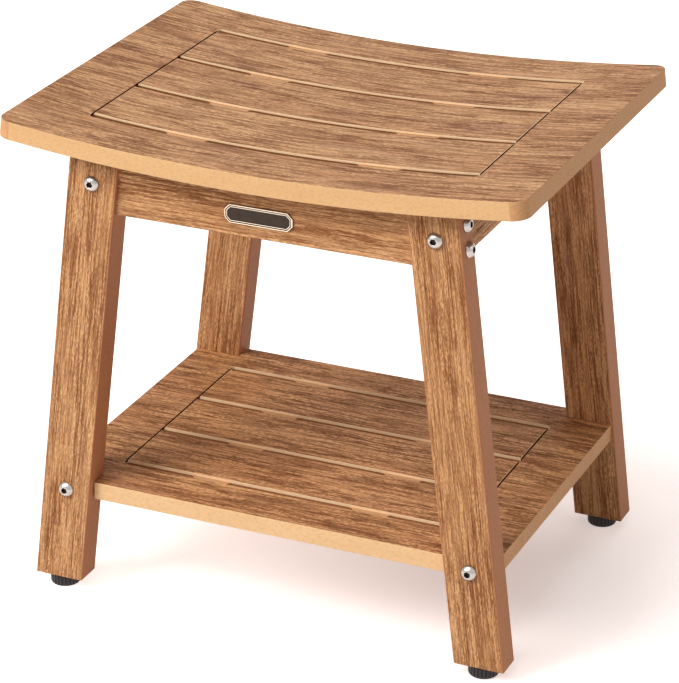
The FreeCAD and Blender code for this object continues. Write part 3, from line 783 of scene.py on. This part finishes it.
# %% Legs
LEG_EDGE = 0.9 * MM
LEG_FOOT_EDGE = 0.8 * MM
LEG_RINGS = 24
FOOT_HOLE = 5.5 * MM
FOOT_HOLE_DEPTH = 31 * MM
FOOT_HOLE_SIDES = 48
LEG_GRAIN, LEG_GRAIN_STEP = 2.1, 0.77


def make_leg(side_name, end_name, grain_start):
    side, end = SIDES[side_name], ENDS[end_name]
    piece = Piece()
    section = rounded_rectangle(LEG_WIDTH / 2, LEG_THICKNESS / 2, LEG_EDGE, 4)
    rings = [[leg_point(side, end, a, b, LEG_BOTTOM + up) for a, b in inset(section, d)]
             for d, up in rounding(LEG_FOOT_EDGE, 3)]
    low = rings[-1][0][2]
    tops = [meet_seat(side, end, a, b) for a, b in section]
    for share in run(0, 1, 1 / LEG_RINGS)[1:]:
        heights = [low + (top - low) * share for top in tops]
        rings.append([leg_point(side, end, a, b, z) for (a, b), z in zip(section, heights)])

    def finish_of(points):
        """Grain on the front and back, plain on the sides and the eased edges."""
        middle = np.mean(points, 0)
        across = abs(middle[0] - side * leg_middle(middle[2])) * math.cos(LEAN)
        return GRAINED if across < LEG_WIDTH / 2 - LEG_EDGE else PLAIN

    piece.walls(rings, finish_of)
    for triangle in triangles([section]):
        piece.face([leg_point(side, end, a, b, meet_seat(side, end, a, b)) for a, b in triangle], PLAIN)
    turns = [2 * math.pi * i / FOOT_HOLE_SIDES for i in range(FOOT_HOLE_SIDES)]
    hole = [(FOOT_HOLE * math.cos(t), FOOT_HOLE * math.sin(t)) for t in turns]
    for triangle in triangles([inset(section, LEG_FOOT_EDGE), [(a * math.cos(LEAN), b) for a, b in hole]]):
        piece.face([leg_point(side, end, a, b, LEG_BOTTOM) for a, b in triangle], PLAIN)
    foot = leg_point(side, end, 0, 0, LEG_BOTTOM)
    bore = [[(foot[0] + side * a, foot[1] + b, z) for a, b in hole]
            for z in (LEG_BOTTOM, LEG_BOTTOM + FOOT_HOLE_DEPTH)]
    piece.walls(bore, PLAIN)
    piece.face(bore[1], PLAIN)

    def grain_of(p):
        across = (p.x - side * leg_middle(p.z)) * math.cos(LEAN)
        return (p.z / math.cos(LEAN) + grain_start, across + grain_start, p.y)

    name = f"{end_name}_{side_name}_leg"
    leg = settle(put_in_scene(f"{name}_board", piece.mesh(name, RAIL_FINISHES, grain_of)))
    dress(leg, "frame", "poly_lumber", name)


for start, (end_name, side_name) in enumerate([(e, s) for e in ENDS for s in SIDES]):
    make_leg(side_name, end_name, LEG_GRAIN + LEG_GRAIN_STEP * start)

# %% [markdown]
# ## Aprons
# Four rails close the frame under the seat. The front and back ones run along the bench between the legs,
# with their ends sawn to the lean, and the side ones lean with the legs. All are cut to the seat's curve at
# the top. A rail is a section carried along its length in rings, as with the legs, and the top of each ring
# follows the curve.

# %% One rail
APRON_EDGE = 0.8 * MM
APRON_SKIN_SHARE = 0.3


def rail_section(half_thickness):
    """(across, share of the height, lift) round a rail's section, with its edges rounded."""
    loop = []
    for across, share in ((1, 0), (1, 1), (-1, 1), (-1, 0)):
        edge = [(across * (half_thickness - d), share, down * (1 - 2 * share))
                for d, down in rounding(APRON_EDGE)]
        loop += edge if (across > 0) == (share == 0) else edge[::-1]
    return loop


def make_apron(name, thickness, stations, point_of, grain_of):
    """Rings along a rail: point_of gives a point for a station, a place across and a height."""
    piece = Piece()
    rings = []
    edges = rail_section(thickness / 2)
    for station in stations:
        ring = []
        for across, share, lift in edges:
            z = SEAT_END_HEIGHT
            for _ in range(CURVE_TRIES):
                height = under_seat(point_of(station, across, z)[0]) - APRON_BOTTOM
                z = APRON_BOTTOM + share * height + lift
            ring.append(point_of(station, across, z))
        rings.append(ring)
    turned = thickness / 2 - APRON_SKIN_SHARE * APRON_EDGE
    for one, other in zip(rings, rings[1:]):
        for i in range(len(one)):
            j = (i + 1) % len(one)
            grained = abs(edges[i][0] + edges[j][0]) / 2 > turned
            piece.face([one[i], one[j], other[j], other[i]], GRAINED if grained else PLAIN)
    piece.face(rings[0], PLAIN)
    piece.face(rings[-1], PLAIN)
    apron = settle(put_in_scene(f"{name}_board", piece.mesh(name, RAIL_FINISHES, grain_of)))
    dress(apron, "frame", "poly_lumber", name)


print("a rail's section has", len(rail_section(LEG_THICKNESS / 2)), "points")

# %% Aprons
LONG_APRON_MIDDLE = (LEG_INNER + APRON_FACE) / 2
LONG_APRON_STEP = 1 / 16
LONG_APRON_GRAIN = 5.3
SIDE_APRON_THICKNESS = 16 * MM
SIDE_APRON_STEP = 20 * MM
SIDE_APRON_GRAIN = 8.7
for end_name, end in ENDS.items():
    make_apron(f"{end_name}_apron", APRON_FACE - LEG_INNER, run(-1, 1, LONG_APRON_STEP),
               lambda s, across, z: (s * leg_inner_face(z), end * LONG_APRON_MIDDLE + across, z),
               lambda p: (p.x + LONG_APRON_GRAIN + end, p.z, p.y))
for side_name, side in SIDES.items():
    make_apron(f"{side_name}_apron", SIDE_APRON_THICKNESS, run(-LEG_INNER, LEG_INNER, SIDE_APRON_STEP),
               lambda s, across, z: (side * (leg_middle(z) + across / math.cos(LEAN)), s, z),
               lambda p: (p.y + SIDE_APRON_GRAIN + side, p.z, p.x))

# %% [markdown]
# ## Button head bolts
# Sixteen stainless bolts hold the frame: on every leg two on the outer side, one at the front or back near
# the top, and one at the height of the shelf. They are all alike, so one bolt is modelled in rings, with
# its domed head and hexagon socket, and Geometry Nodes set a copy on every point, turned to that point's
# axis. A fitter leaves each socket at a different angle, so the tree turns each copy by a random amount
# from a fixed seed.

# %% Polished stainless steel
# Grey metal with bright lights in it, and faint rings from the turning of the head
steel, tree = new_material("polished_stainless_steel")
radius = add(tree, "ShaderNodeAttribute", attribute_name="turned").outputs["Fac"]
rings = add(tree, "ShaderNodeTexNoise", {"W": radius, "Scale": 1000 / 0.25, "Detail": 2},
            noise_dimensions="1D")
place = add(tree, "ShaderNodeTexCoord").outputs["Object"]
smear = add(tree, "ShaderNodeTexNoise", {"Vector": place, "Scale": 1000 / 6, "Detail": 3}).outputs[0]
tone = add(tree, "ShaderNodeMix", {0: smear, 6: colour("#C6C2BD"), 7: colour("#A19D98")}, data_type="RGBA")
surface(steel, tone.outputs[2], rings.outputs[0], gloss=(0.14, 0.34), strength=0.12, depth=0.02,
        constants={"Metallic": 1})

# %% Cloudy metals
def cloudy_metal(name, size, pale, deep, smooth, rough, metallic=1):
    """Metal whose colour, gloss and faint relief follow one noise, with clouds of this size in mm."""
    made, tree = new_material(name)
    place = add(tree, "ShaderNodeTexCoord").outputs["Object"]
    cloud = add(tree, "ShaderNodeTexNoise", {"Vector": place, "Scale": 1000 / size, "Detail": 4}).outputs[0]
    tone = add(tree, "ShaderNodeMix", {0: cloud, 6: colour(pale), 7: colour(deep)},
               data_type="RGBA").outputs[2]
    return surface(made, tone, cloud, gloss=(smooth, rough), strength=0.2, depth=0.03,
                   constants={"Metallic": metallic})


# Painted shade: the socket is coloured nearly black for the shade deep inside it, and dull
socket_shade_paint = cloudy_metal("forged_socket_scale", 1.5, "#1C1815", "#3A332D", 0.45, 0.75, 0.5)
BOLT_FINISHES = {"Steel": steel, "Socket": socket_shade_paint}
STEEL, SOCKET = range(len(BOLT_FINISHES))

# %% Sizes of a bolt
HEAD_RADIUS = 7 * MM
HEAD_HEIGHT = 4.4 * MM
HEAD_RIM = 0.8 * MM
HEAD_EDGE = 0.3 * MM
HEAD_FLAT = 3.5 * MM
DOME_STEP = 0.4 * MM
SOCKET_ACROSS = 5 * MM
SOCKET_DEPTH = 2.6 * MM
SOCKET_FLARE = 0.3 * MM
SOCKET_CHAMFER = 0.2 * MM
SHANK_RADIUS = 4 * MM
TIP_RADIUS = 3.2 * MM
TIP_CHAMFER = 0.8 * MM
BOLT_SIDES = 48
print("bolt head", 2 * HEAD_RADIUS / MM, "mm across,", SOCKET_ACROSS / MM, "mm socket")

# %% One bolt
def hexagon(across, turn):
    """Distance from the middle of a hexagon to its edge at this angle."""
    sixth = math.pi / 3
    return across / 2 / math.cos((turn + sixth / 2) % sixth - sixth / 2)


def bolt_model(shank):
    """A closed bolt whose head stands on the origin, with its distance from the axis as an attribute."""
    rise = 2 * (HEAD_HEIGHT - HEAD_RIM)
    dome = (HEAD_FLAT ** 2 + HEAD_HEIGHT ** 2 - HEAD_RADIUS ** 2 - HEAD_RIM ** 2) / rise
    ball = math.hypot(HEAD_RADIUS, HEAD_RIM - dome)
    profile = [(TIP_RADIUS, -shank), (SHANK_RADIUS, -shank + TIP_CHAMFER), (SHANK_RADIUS, 0),
               (HEAD_RADIUS - HEAD_EDGE, 0), (HEAD_RADIUS, HEAD_EDGE), (HEAD_RADIUS, HEAD_RIM)]
    for z in run(HEAD_RIM, HEAD_HEIGHT, DOME_STEP)[1:]:
        profile.append((math.sqrt(ball ** 2 - (z - dome) ** 2), z))
    turns = [2 * math.pi * i / BOLT_SIDES for i in range(BOLT_SIDES)]
    rings = [[(r * math.cos(t), r * math.sin(t), z) for t in turns] for r, z in profile]
    for grow, down in ((SOCKET_FLARE, 0), (0, SOCKET_CHAMFER), (0, SOCKET_DEPTH)):
        sizes = [hexagon(SOCKET_ACROSS, t) + grow for t in turns]
        rings.append([(r * math.cos(t), r * math.sin(t), HEAD_HEIGHT - down) for r, t in zip(sizes, turns)])
    piece = Piece()
    piece.walls(rings[:-1], STEEL)
    piece.walls(rings[-2:], SOCKET)
    piece.face(rings[0][::-1], STEEL)
    piece.face(rings[-1], SOCKET)
    mesh = piece.mesh("bolt", BOLT_FINISHES.values(), lambda p: (0, 0, 0))
    number_faces(mesh)
    turned = mesh.attributes.new("turned", "FLOAT", "POINT")
    turned.data.foreach_set("value", [math.hypot(v.co.x, v.co.y) for v in mesh.vertices])
    return put_in_scene("bolt", mesh)


print("one bolt has", BOLT_SIDES, "sides")

# %% Set a bolt on every point
fasten_inputs = {"Points": "Geometry", "Bolt": "Object", "Largest turn": "Float", "Seed": "Int"}
fasten_inputs |= dict.fromkeys(BOLT_FINISHES, "Material")
fasten, given = new_tree("bolt_on_every_point", fasten_inputs, "Bolts")
axis = add(fasten, "GeometryNodeInputNamedAttribute", {"Name": "axis"}, data_type="FLOAT_VECTOR").outputs[0]
aimed = add(fasten, "FunctionNodeAlignRotationToVector", {"Vector": axis}, axis="Z").outputs[0]
chance = add(fasten, "FunctionNodeRandomValue", {3: given["Largest turn"], "Seed": given["Seed"]},
             data_type="FLOAT").outputs[1]
spin = add(fasten, "FunctionNodeAxisAngleToRotation", {"Axis": (0, 0, 1), "Angle": chance}).outputs[0]
turned = add(fasten, "FunctionNodeRotateRotation", {0: aimed, 1: spin}, rotation_space="LOCAL").outputs[0]
model = add(fasten, "GeometryNodeObjectInfo", {"Object": given["Bolt"]}).outputs["Geometry"]
copies = add(fasten, "GeometryNodeInstanceOnPoints",
             {"Points": given["Points"], "Instance": model, "Rotation": turned}).outputs[0]
finish_faces(fasten, copies, [given[name] for name in BOLT_FINISHES])

# %% Bolts
BOLT_BITE = 25 * MM
BOLT_PITCH = 21 * MM
PAIR_DROP = 1 * MM
top_z = (APRON_BOTTOM + under_seat(leg_middle(SEAT_END_HEIGHT - SEAT_THICKNESS))) / 2
shelf_z = SHELF_TOP - SHELF_THICKNESS / 2


def set_bolts(name, places, board, node, seed):
    """Bolts at (point, axis) places that go through a leg this thick."""
    mesh = bpy.data.meshes.new(name)
    mesh.from_pydata([point for point, _ in places], [], [])
    axes = mesh.attributes.new("axis", "FLOAT_VECTOR", "POINT")
    axes.data.foreach_set("vector", [c for _, axis in places for c in axis])
    model = bolt_model(board + BOLT_BITE)
    bolts = put_in_scene(name, mesh)
    use_tree(bolts, fasten, {"Bolt": model, "Largest turn": math.pi / 3, "Seed": seed} | BOLT_FINISHES)
    settle(bolts, weighted=False)
    bpy.data.objects.remove(model)
    dress(bolts, "frame", "stainless_steel", node)


def front_and_back(z):
    return [((side * leg_middle(z), end * LEG_FRONT, z), (0, end, 0)) for side in (-1, 1) for end in (-1, 1)]


pairs = []
for side in SIDES.values():
    for end in ENDS.values():
        for z in (top_z - PAIR_DROP - BOLT_PITCH / 2, top_z - PAIR_DROP + BOLT_PITCH / 2):
            outward = Vector((side * math.cos(LEAN), 0, math.sin(LEAN)))
            middle = Vector((side * leg_middle(z), end * LONG_APRON_MIDDLE, z))
            pairs.append((middle + outward * LEG_WIDTH / 2, outward))
set_bolts("apron_bolt_pairs", pairs, LEG_WIDTH, "long_apron_bolts", seed=3)
set_bolts("apron_bolts", front_and_back(top_z), LEG_THICKNESS, "side_apron_bolts", seed=5)
set_bolts("shelf_bolt_heads", front_and_back(shelf_z), LEG_THICKNESS, "shelf_bolts", seed=8)

# %% [markdown]
# ## Levelling feet
# Each leg stands on a black foot that screws in and out. Its rim has upright ribs for the fingers. The foot
# follows a rule, so Geometry Nodes make it from a plain grid: rows of the grid become steps of the foot's
# profile, columns become angles, and every few columns the rim sinks into a groove. Merging the seam and
# the two middles closes it. A bent cylinder with copies of a rib would leave faces inside, and this way
# leaves none.

# %% Moulded black plastic
# Deep black with a dull, slightly pitted moulded surface and a paler sheen on the ribs
moulded_black, tree = new_material("moulded_black_polypropylene")
place = add(tree, "ShaderNodeTexCoord").outputs["Object"]
pits = add(tree, "ShaderNodeTexNoise", {"Vector": place, "Scale": 1000 / 0.7, "Detail": 3}).outputs[0]
dust = add(tree, "ShaderNodeTexNoise", {"Vector": place, "Scale": 1000 / 9, "Detail": 2}).outputs[0]
tone = add(tree, "ShaderNodeMix", {0: dust, 6: colour("#111010"), 7: colour("#1E1C1B")}, data_type="RGBA")
surface(moulded_black, tone.outputs[2], pits, gloss=(0.38, 0.6), strength=0.3, depth=0.05)

# %% Profile of the foot
# (radius, height) of each step of the profile, in millimetres
FOOT_PROFILE = [(0, 0), (10.5, 0), (11.6, 0.2), (12.3, 0.6), (12.7, 1.2), (13, 2), (13, 9), (12.7, 9.5),
                (12, 9.7), (4.6, 9.7), (4.05, 9.3), (4.05, 2.4), (0, 2.4)]
RIM_WIDTH = 1.6 * MM
ribbed, given = new_tree("ribbed_foot", {
    "Start": "Geometry", "Ribs": "Int", "Steps per rib": "Int", "Groove depth": "Float",
    "Rim radius": "Float", "Centre": "Vector", "Finish": "Material"}, "Foot")
ribs, rim = given["Ribs"], given["Rim radius"]
columns = add(ribbed, "ShaderNodeMath", {0: ribs, 1: given["Steps per rib"]},
              operation="MULTIPLY").outputs[0]
across = add(ribbed, "ShaderNodeMath", {0: columns, 1: 1}, operation="ADD").outputs[0]
grid = add(ribbed, "GeometryNodeMeshGrid",
           {"Vertices X": across, "Vertices Y": len(FOOT_PROFILE)}).outputs[0]
index = add(ribbed, "GeometryNodeInputIndex").outputs[0]
row = add(ribbed, "ShaderNodeMath", {0: index, 1: len(FOOT_PROFILE)}, operation="FLOORED_MODULO").outputs[0]
column = add(ribbed, "ShaderNodeMath", {0: index, 1: len(FOOT_PROFILE)}, operation="DIVIDE").outputs[0]
column = add(ribbed, "ShaderNodeMath", {0: column}, operation="FLOOR").outputs[0]
picks = []
for which in (0, 1):
    pick = add(ribbed, "GeometryNodeIndexSwitch", {0: row}, data_type="FLOAT")
    while len(pick.index_switch_items) < len(FOOT_PROFILE):
        pick.index_switch_items.new()
    for i, step in enumerate(FOOT_PROFILE):
        pick.inputs[i + 1].default_value = step[which] * MM
    picks.append(pick.outputs[0])
print(len(FOOT_PROFILE), "steps in the foot's profile")

# %% Ribs round the foot
angle = add(ribbed, "ShaderNodeMath", {0: column, 1: columns}, operation="DIVIDE").outputs[0]
angle = add(ribbed, "ShaderNodeMath", {0: angle, 1: math.tau}, operation="MULTIPLY").outputs[0]
phase = add(ribbed, "ShaderNodeMath", {0: angle, 1: ribs}, operation="MULTIPLY").outputs[0]
wave = add(ribbed, "ShaderNodeMath", {0: phase}, operation="COSINE").outputs[0]
groove = add(ribbed, "ShaderNodeMapRange", {"Value": wave, "From Min": -0.1, "From Max": 0.9},
             interpolation_type="SMOOTHSTEP").outputs[0]
rim_start = add(ribbed, "ShaderNodeMath", {0: rim, 1: RIM_WIDTH}, operation="SUBTRACT").outputs[0]
on_rim = add(ribbed, "ShaderNodeMapRange",
             {"Value": picks[0], "From Min": rim_start, "From Max": rim}).outputs[0]
sunk = add(ribbed, "ShaderNodeMath", {0: groove, 1: on_rim}, operation="MULTIPLY").outputs[0]
sunk = add(ribbed, "ShaderNodeMath", {0: sunk, 1: given["Groove depth"]}, operation="MULTIPLY").outputs[0]
spoke = add(ribbed, "ShaderNodeMath", {0: picks[0], 1: sunk}, operation="SUBTRACT").outputs[0]
sine = add(ribbed, "ShaderNodeMath", {0: angle}, operation="SINE").outputs[0]
cosine = add(ribbed, "ShaderNodeMath", {0: angle}, operation="COSINE").outputs[0]
place_x = add(ribbed, "ShaderNodeMath", {0: spoke, 1: cosine}, operation="MULTIPLY").outputs[0]
place_y = add(ribbed, "ShaderNodeMath", {0: spoke, 1: sine}, operation="MULTIPLY").outputs[0]
local = add(ribbed, "ShaderNodeCombineXYZ", {"X": place_x, "Y": place_y, "Z": picks[1]}).outputs[0]
spot = add(ribbed, "ShaderNodeVectorMath", {0: local, 1: given["Centre"]}, operation="ADD").outputs[0]
shaped = add(ribbed, "GeometryNodeSetPosition", {"Geometry": grid, "Position": spot}).outputs[0]
merged = add(ribbed, "GeometryNodeMergeByDistance", {"Geometry": shaped, "Distance": 0.002 * MM}).outputs[0]
real = add(ribbed, "GeometryNodeRealizeInstances", {0: merged}).outputs[0]
done = add(ribbed, "GeometryNodeSetMaterial", {"Geometry": real, "Material": given["Finish"]}).outputs[0]
add(ribbed, "NodeGroupOutput", {0: done})
print(ribbed.name, len(ribbed.nodes), "nodes")

# %% Feet
FOOT_SIZES = {"Ribs": 24, "Steps per rib": 10, "Groove depth": 1 * MM, "Rim radius": 13 * MM}
FOOT_SHARP_ANGLE = math.radians(40)
for end_name, end in ENDS.items():
    for side_name, side in SIDES.items():
        corner = f"{end_name}_{side_name}"
        centre = (side * leg_middle(LEG_BOTTOM), end * LEG_MIDDLE_Y, 0)
        foot = put_in_scene(f"{corner}_ribbed_foot", bpy.data.meshes.new(f"{corner}_ribbed_foot"))
        use_tree(foot, ribbed, FOOT_SIZES | {"Centre": centre, "Finish": moulded_black})
        settle(foot, weighted=False)
        shape = bmesh.new()
        shape.from_mesh(foot.data)
        bmesh.ops.recalc_face_normals(shape, faces=shape.faces)
        shape.to_mesh(foot.data)
        shape.free()
        foot.data.shade_smooth()
        foot.data.set_sharp_from_angle(angle=FOOT_SHARP_ANGLE)
        dress(foot, f"{corner}_foot", "black_plastic", f"{corner}_foot_base")

# %% [markdown]
# ## The plate on the front
# A small cast plate sits on the front apron. It is bare: eight corners, a double raised line round the edge
# and a sunk field. Loops set in step by step give the lines, as with the boards' edges. The field is dark
# from an aged finish, and the raised lines are rubbed bright, so two finishes go on by ring.

# %% Cast plate finishes
# Dark, brown-black patina that is duller and cloudy
patina = cloudy_metal("patinated_bronze_field", 5, "#2C2520", "#4A3F37", 0.4, 0.65, 0.85)
# Pale metal of the raised lines, rubbed bright
bright = cloudy_metal("rubbed_bronze_lines", 3, "#FFF3DF", "#DCCBB2", 0.22, 0.42)
FIELD, LINE = 0, 1

# %% Plate
PLATE_HALF_LENGTH = 30 * MM
PLATE_HALF_HEIGHT = 8 * MM
PLATE_CUT = 4.5 * MM
PLATE_X = -1.9 * MM
PLATE_Z = APRON_BOTTOM + 19.1 * MM
# (distance in, height over the apron, finish of the step that ends here), in millimetres
PLATE_STEPS = [(0, 0, FIELD), (0, 1.4, FIELD), (0.3, 1.8, LINE), (0.9, 1.8, LINE), (1.1, 1.35, FIELD),
               (1.7, 1.35, FIELD), (1.9, 1.7, LINE), (2.35, 1.7, LINE), (2.6, 1.2, FIELD)]
octagon = all_round([(PLATE_HALF_LENGTH, PLATE_HALF_HEIGHT - PLATE_CUT),
                     (PLATE_HALF_LENGTH - PLATE_CUT, PLATE_HALF_HEIGHT)])
rings = []
for way_in, height, _ in PLATE_STEPS:
    loop = inset(octagon, way_in * MM)
    rings.append([(PLATE_X + x, -APRON_FACE - height * MM, PLATE_Z + z) for x, z in loop])
plate = Piece()
for i, (_, _, finish) in list(enumerate(PLATE_STEPS))[1:]:
    plate.walls(rings[i - 1:i + 1], finish)
plate.face(rings[0][::-1], FIELD)
plate.face(rings[-1], FIELD)
plate_mesh = plate.mesh("cast_plate", [patina, bright], lambda p: (p.x, p.z, p.y))
dress(settle(put_in_scene("cast_plate", plate_mesh)), "frame", "aged_bronze", "nameplate")

# %% [markdown]
# ## Hidden hardware
# Brackets, screws, inserts and studs are the CAD solids themselves, since their shape is right already.
# They show from below and when a foot is screwed out, so they get metal finishes of their own.

# %% Zinc and brass
# Zinc plate is pale grey with a cloudy, slightly blue passivation
zinc = cloudy_metal("zinc_plated_steel", 4, "#C9CCCF", "#A7ABA9", 0.3, 0.55)
# Turned brass is yellow with a dull film
brass = cloudy_metal("turned_brass", 3, "#D8B56A", "#A9843F", 0.25, 0.5)
hardware = {"bracket_screws": steel}
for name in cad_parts:
    if name.endswith(("_seat_bracket", "_foot_stud")):
        hardware[name] = zinc
    elif name.endswith(("_insert", "_inserts")):
        hardware[name] = brass
for name, finish in hardware.items():
    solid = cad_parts[name].data
    solid.materials.clear()
    solid.materials.append(finish)
print(len(hardware), "CAD nodes keep their shape and get a metal finish")

# %% [markdown]
# ## Floor, light and background
# The bench stands on a white sweep. A floor under the same light as the bench would come out grey beside a
# white background, so it glows, least where the shadow is deepest, but only for the camera and for
# reflections: the light on the bench stays as it is, and the floor keeps the bench's shadow. The light is a
# large soft lamp at the front left, a high one in front, weak ones at the right and behind, and an even sky
# that fills the shadows.

# %% Floor
FLOOR_HALF = 6
SHADOW_MIDDLE = (0.19, 0.03, 0)


def seen_rays(tree):
    """1 for what the camera, a reflection or glass looks at, and 0 for light on its way to the bench."""
    path = add(tree, "ShaderNodeLightPath").outputs
    seen = path["Is Camera Ray"]
    for kind in ("Is Glossy Ray", "Is Transmission Ray"):
        seen = add(tree, "ShaderNodeMath", {0: seen, 1: path[kind]}, operation="MAXIMUM").outputs[0]
    return seen


sweep, tree = new_material("white_studio_sweep")
place = add(tree, "ShaderNodeTexCoord").outputs["Object"]
away = add(tree, "ShaderNodeVectorMath", {0: place, 1: SHADOW_MIDDLE}, operation="DISTANCE").outputs["Value"]
level = add(tree, "ShaderNodeMapRange",
            {"Value": away, "From Min": 0.05, "From Max": 0.35, "To Min": 0.46, "To Max": 0.92}).outputs[0]
glow = add(tree, "ShaderNodeMath", {0: seen_rays(tree), 1: level}, operation="MULTIPLY").outputs[0]
shader = tree.nodes["Principled BSDF"].inputs
tree.links.new(glow, shader["Emission Strength"])
shader["Emission Color"].default_value = colour("#FFEFE9")
shader["Base Color"].default_value = colour("#E8E5E3")
shader["Roughness"].default_value = 0.9
floor_mesh = bpy.data.meshes.new("floor")
floor_corners = [(x * FLOOR_HALF, y * FLOOR_HALF, 0) for x, y in ((-1, -1), (1, -1), (1, 1), (-1, 1))]
floor_mesh.from_pydata(floor_corners, [], [(0, 1, 2, 3)])
floor_mesh.materials.append(sweep)
put_in_scene("floor", floor_mesh)
print("floor", 2 * FLOOR_HALF, "m wide")

# %% Sky
sky = bpy.data.worlds.new("studio")
sky.use_nodes = True
bpy.context.scene.world = sky
tree = sky.node_tree
level = add(tree, "ShaderNodeMapRange", {"Value": seen_rays(tree), "To Min": 0.18, "To Max": 1}).outputs[0]
background = tree.nodes["Background"].inputs
background["Color"].default_value = (1, 1, 1, 1)
tree.links.new(level, background["Strength"])
print(sky.name, len(tree.nodes), "nodes")

# %% Lamps
LAMP_DISTANCE = 5.0
LAMPS_LOOK_AT = Vector((0, 0, 0.25))


def direction(azimuth, elevation):
    """Unit vector towards a place round the bench: azimuth is 0 in front and 90 degrees on the right."""
    a, e = math.radians(azimuth), math.radians(elevation)
    return Vector((math.sin(a) * math.cos(e), -math.cos(a) * math.cos(e), math.sin(e)))


def lamp(name, azimuth, elevation, size, watts):
    """A square lamp that looks at the bench."""
    data = bpy.data.lights.new(name, "AREA")
    data.size = size
    data.energy = watts
    way = direction(azimuth, elevation)
    made = put_in_scene(name, data)
    made.location = LAMPS_LOOK_AT + way * LAMP_DISTANCE
    made.rotation_euler = way.to_track_quat("Z", "Y").to_euler()


lamp("key_left", azimuth=-40, elevation=38, size=2.2, watts=172)
lamp("high_front", azimuth=-10, elevation=60, size=2.8, watts=80)
lamp("fill_right", azimuth=100, elevation=30, size=2.8, watts=20)
lamp("fill_back", azimuth=170, elevation=45, size=2.8, watts=28)

# %% [markdown]
# ## Camera
# The picture was taken with a long lens from the front right, a little above the seat. The place, the
# direction and the lens come from fitting a pinhole camera to the bench's edges.

# %% Camera
PICTURE = (679, 683)
FOCAL_PIXELS = 3052.69
CAMERA_PLACE = Vector((967.118, -2207.468, 1281.778)) * MM
CAMERA_DIRECTION = direction(23.6632, 24.0962)
CAMERA_ROLL = Quaternion((0, 0, 1), math.radians(0.1708))
lens = bpy.data.cameras.new("camera")
lens.sensor_width = 36
lens.lens = FOCAL_PIXELS * lens.sensor_width / max(PICTURE)
lens.clip_end = 50
camera = put_in_scene("camera", lens)
camera.location = CAMERA_PLACE
camera.rotation_euler = (CAMERA_DIRECTION.to_track_quat("Z", "Y") @ CAMERA_ROLL).to_euler()
bpy.context.scene.camera = camera
bpy.context.scene.view_settings.view_transform = "Standard"
print("lens", round(lens.lens, 1), "mm")
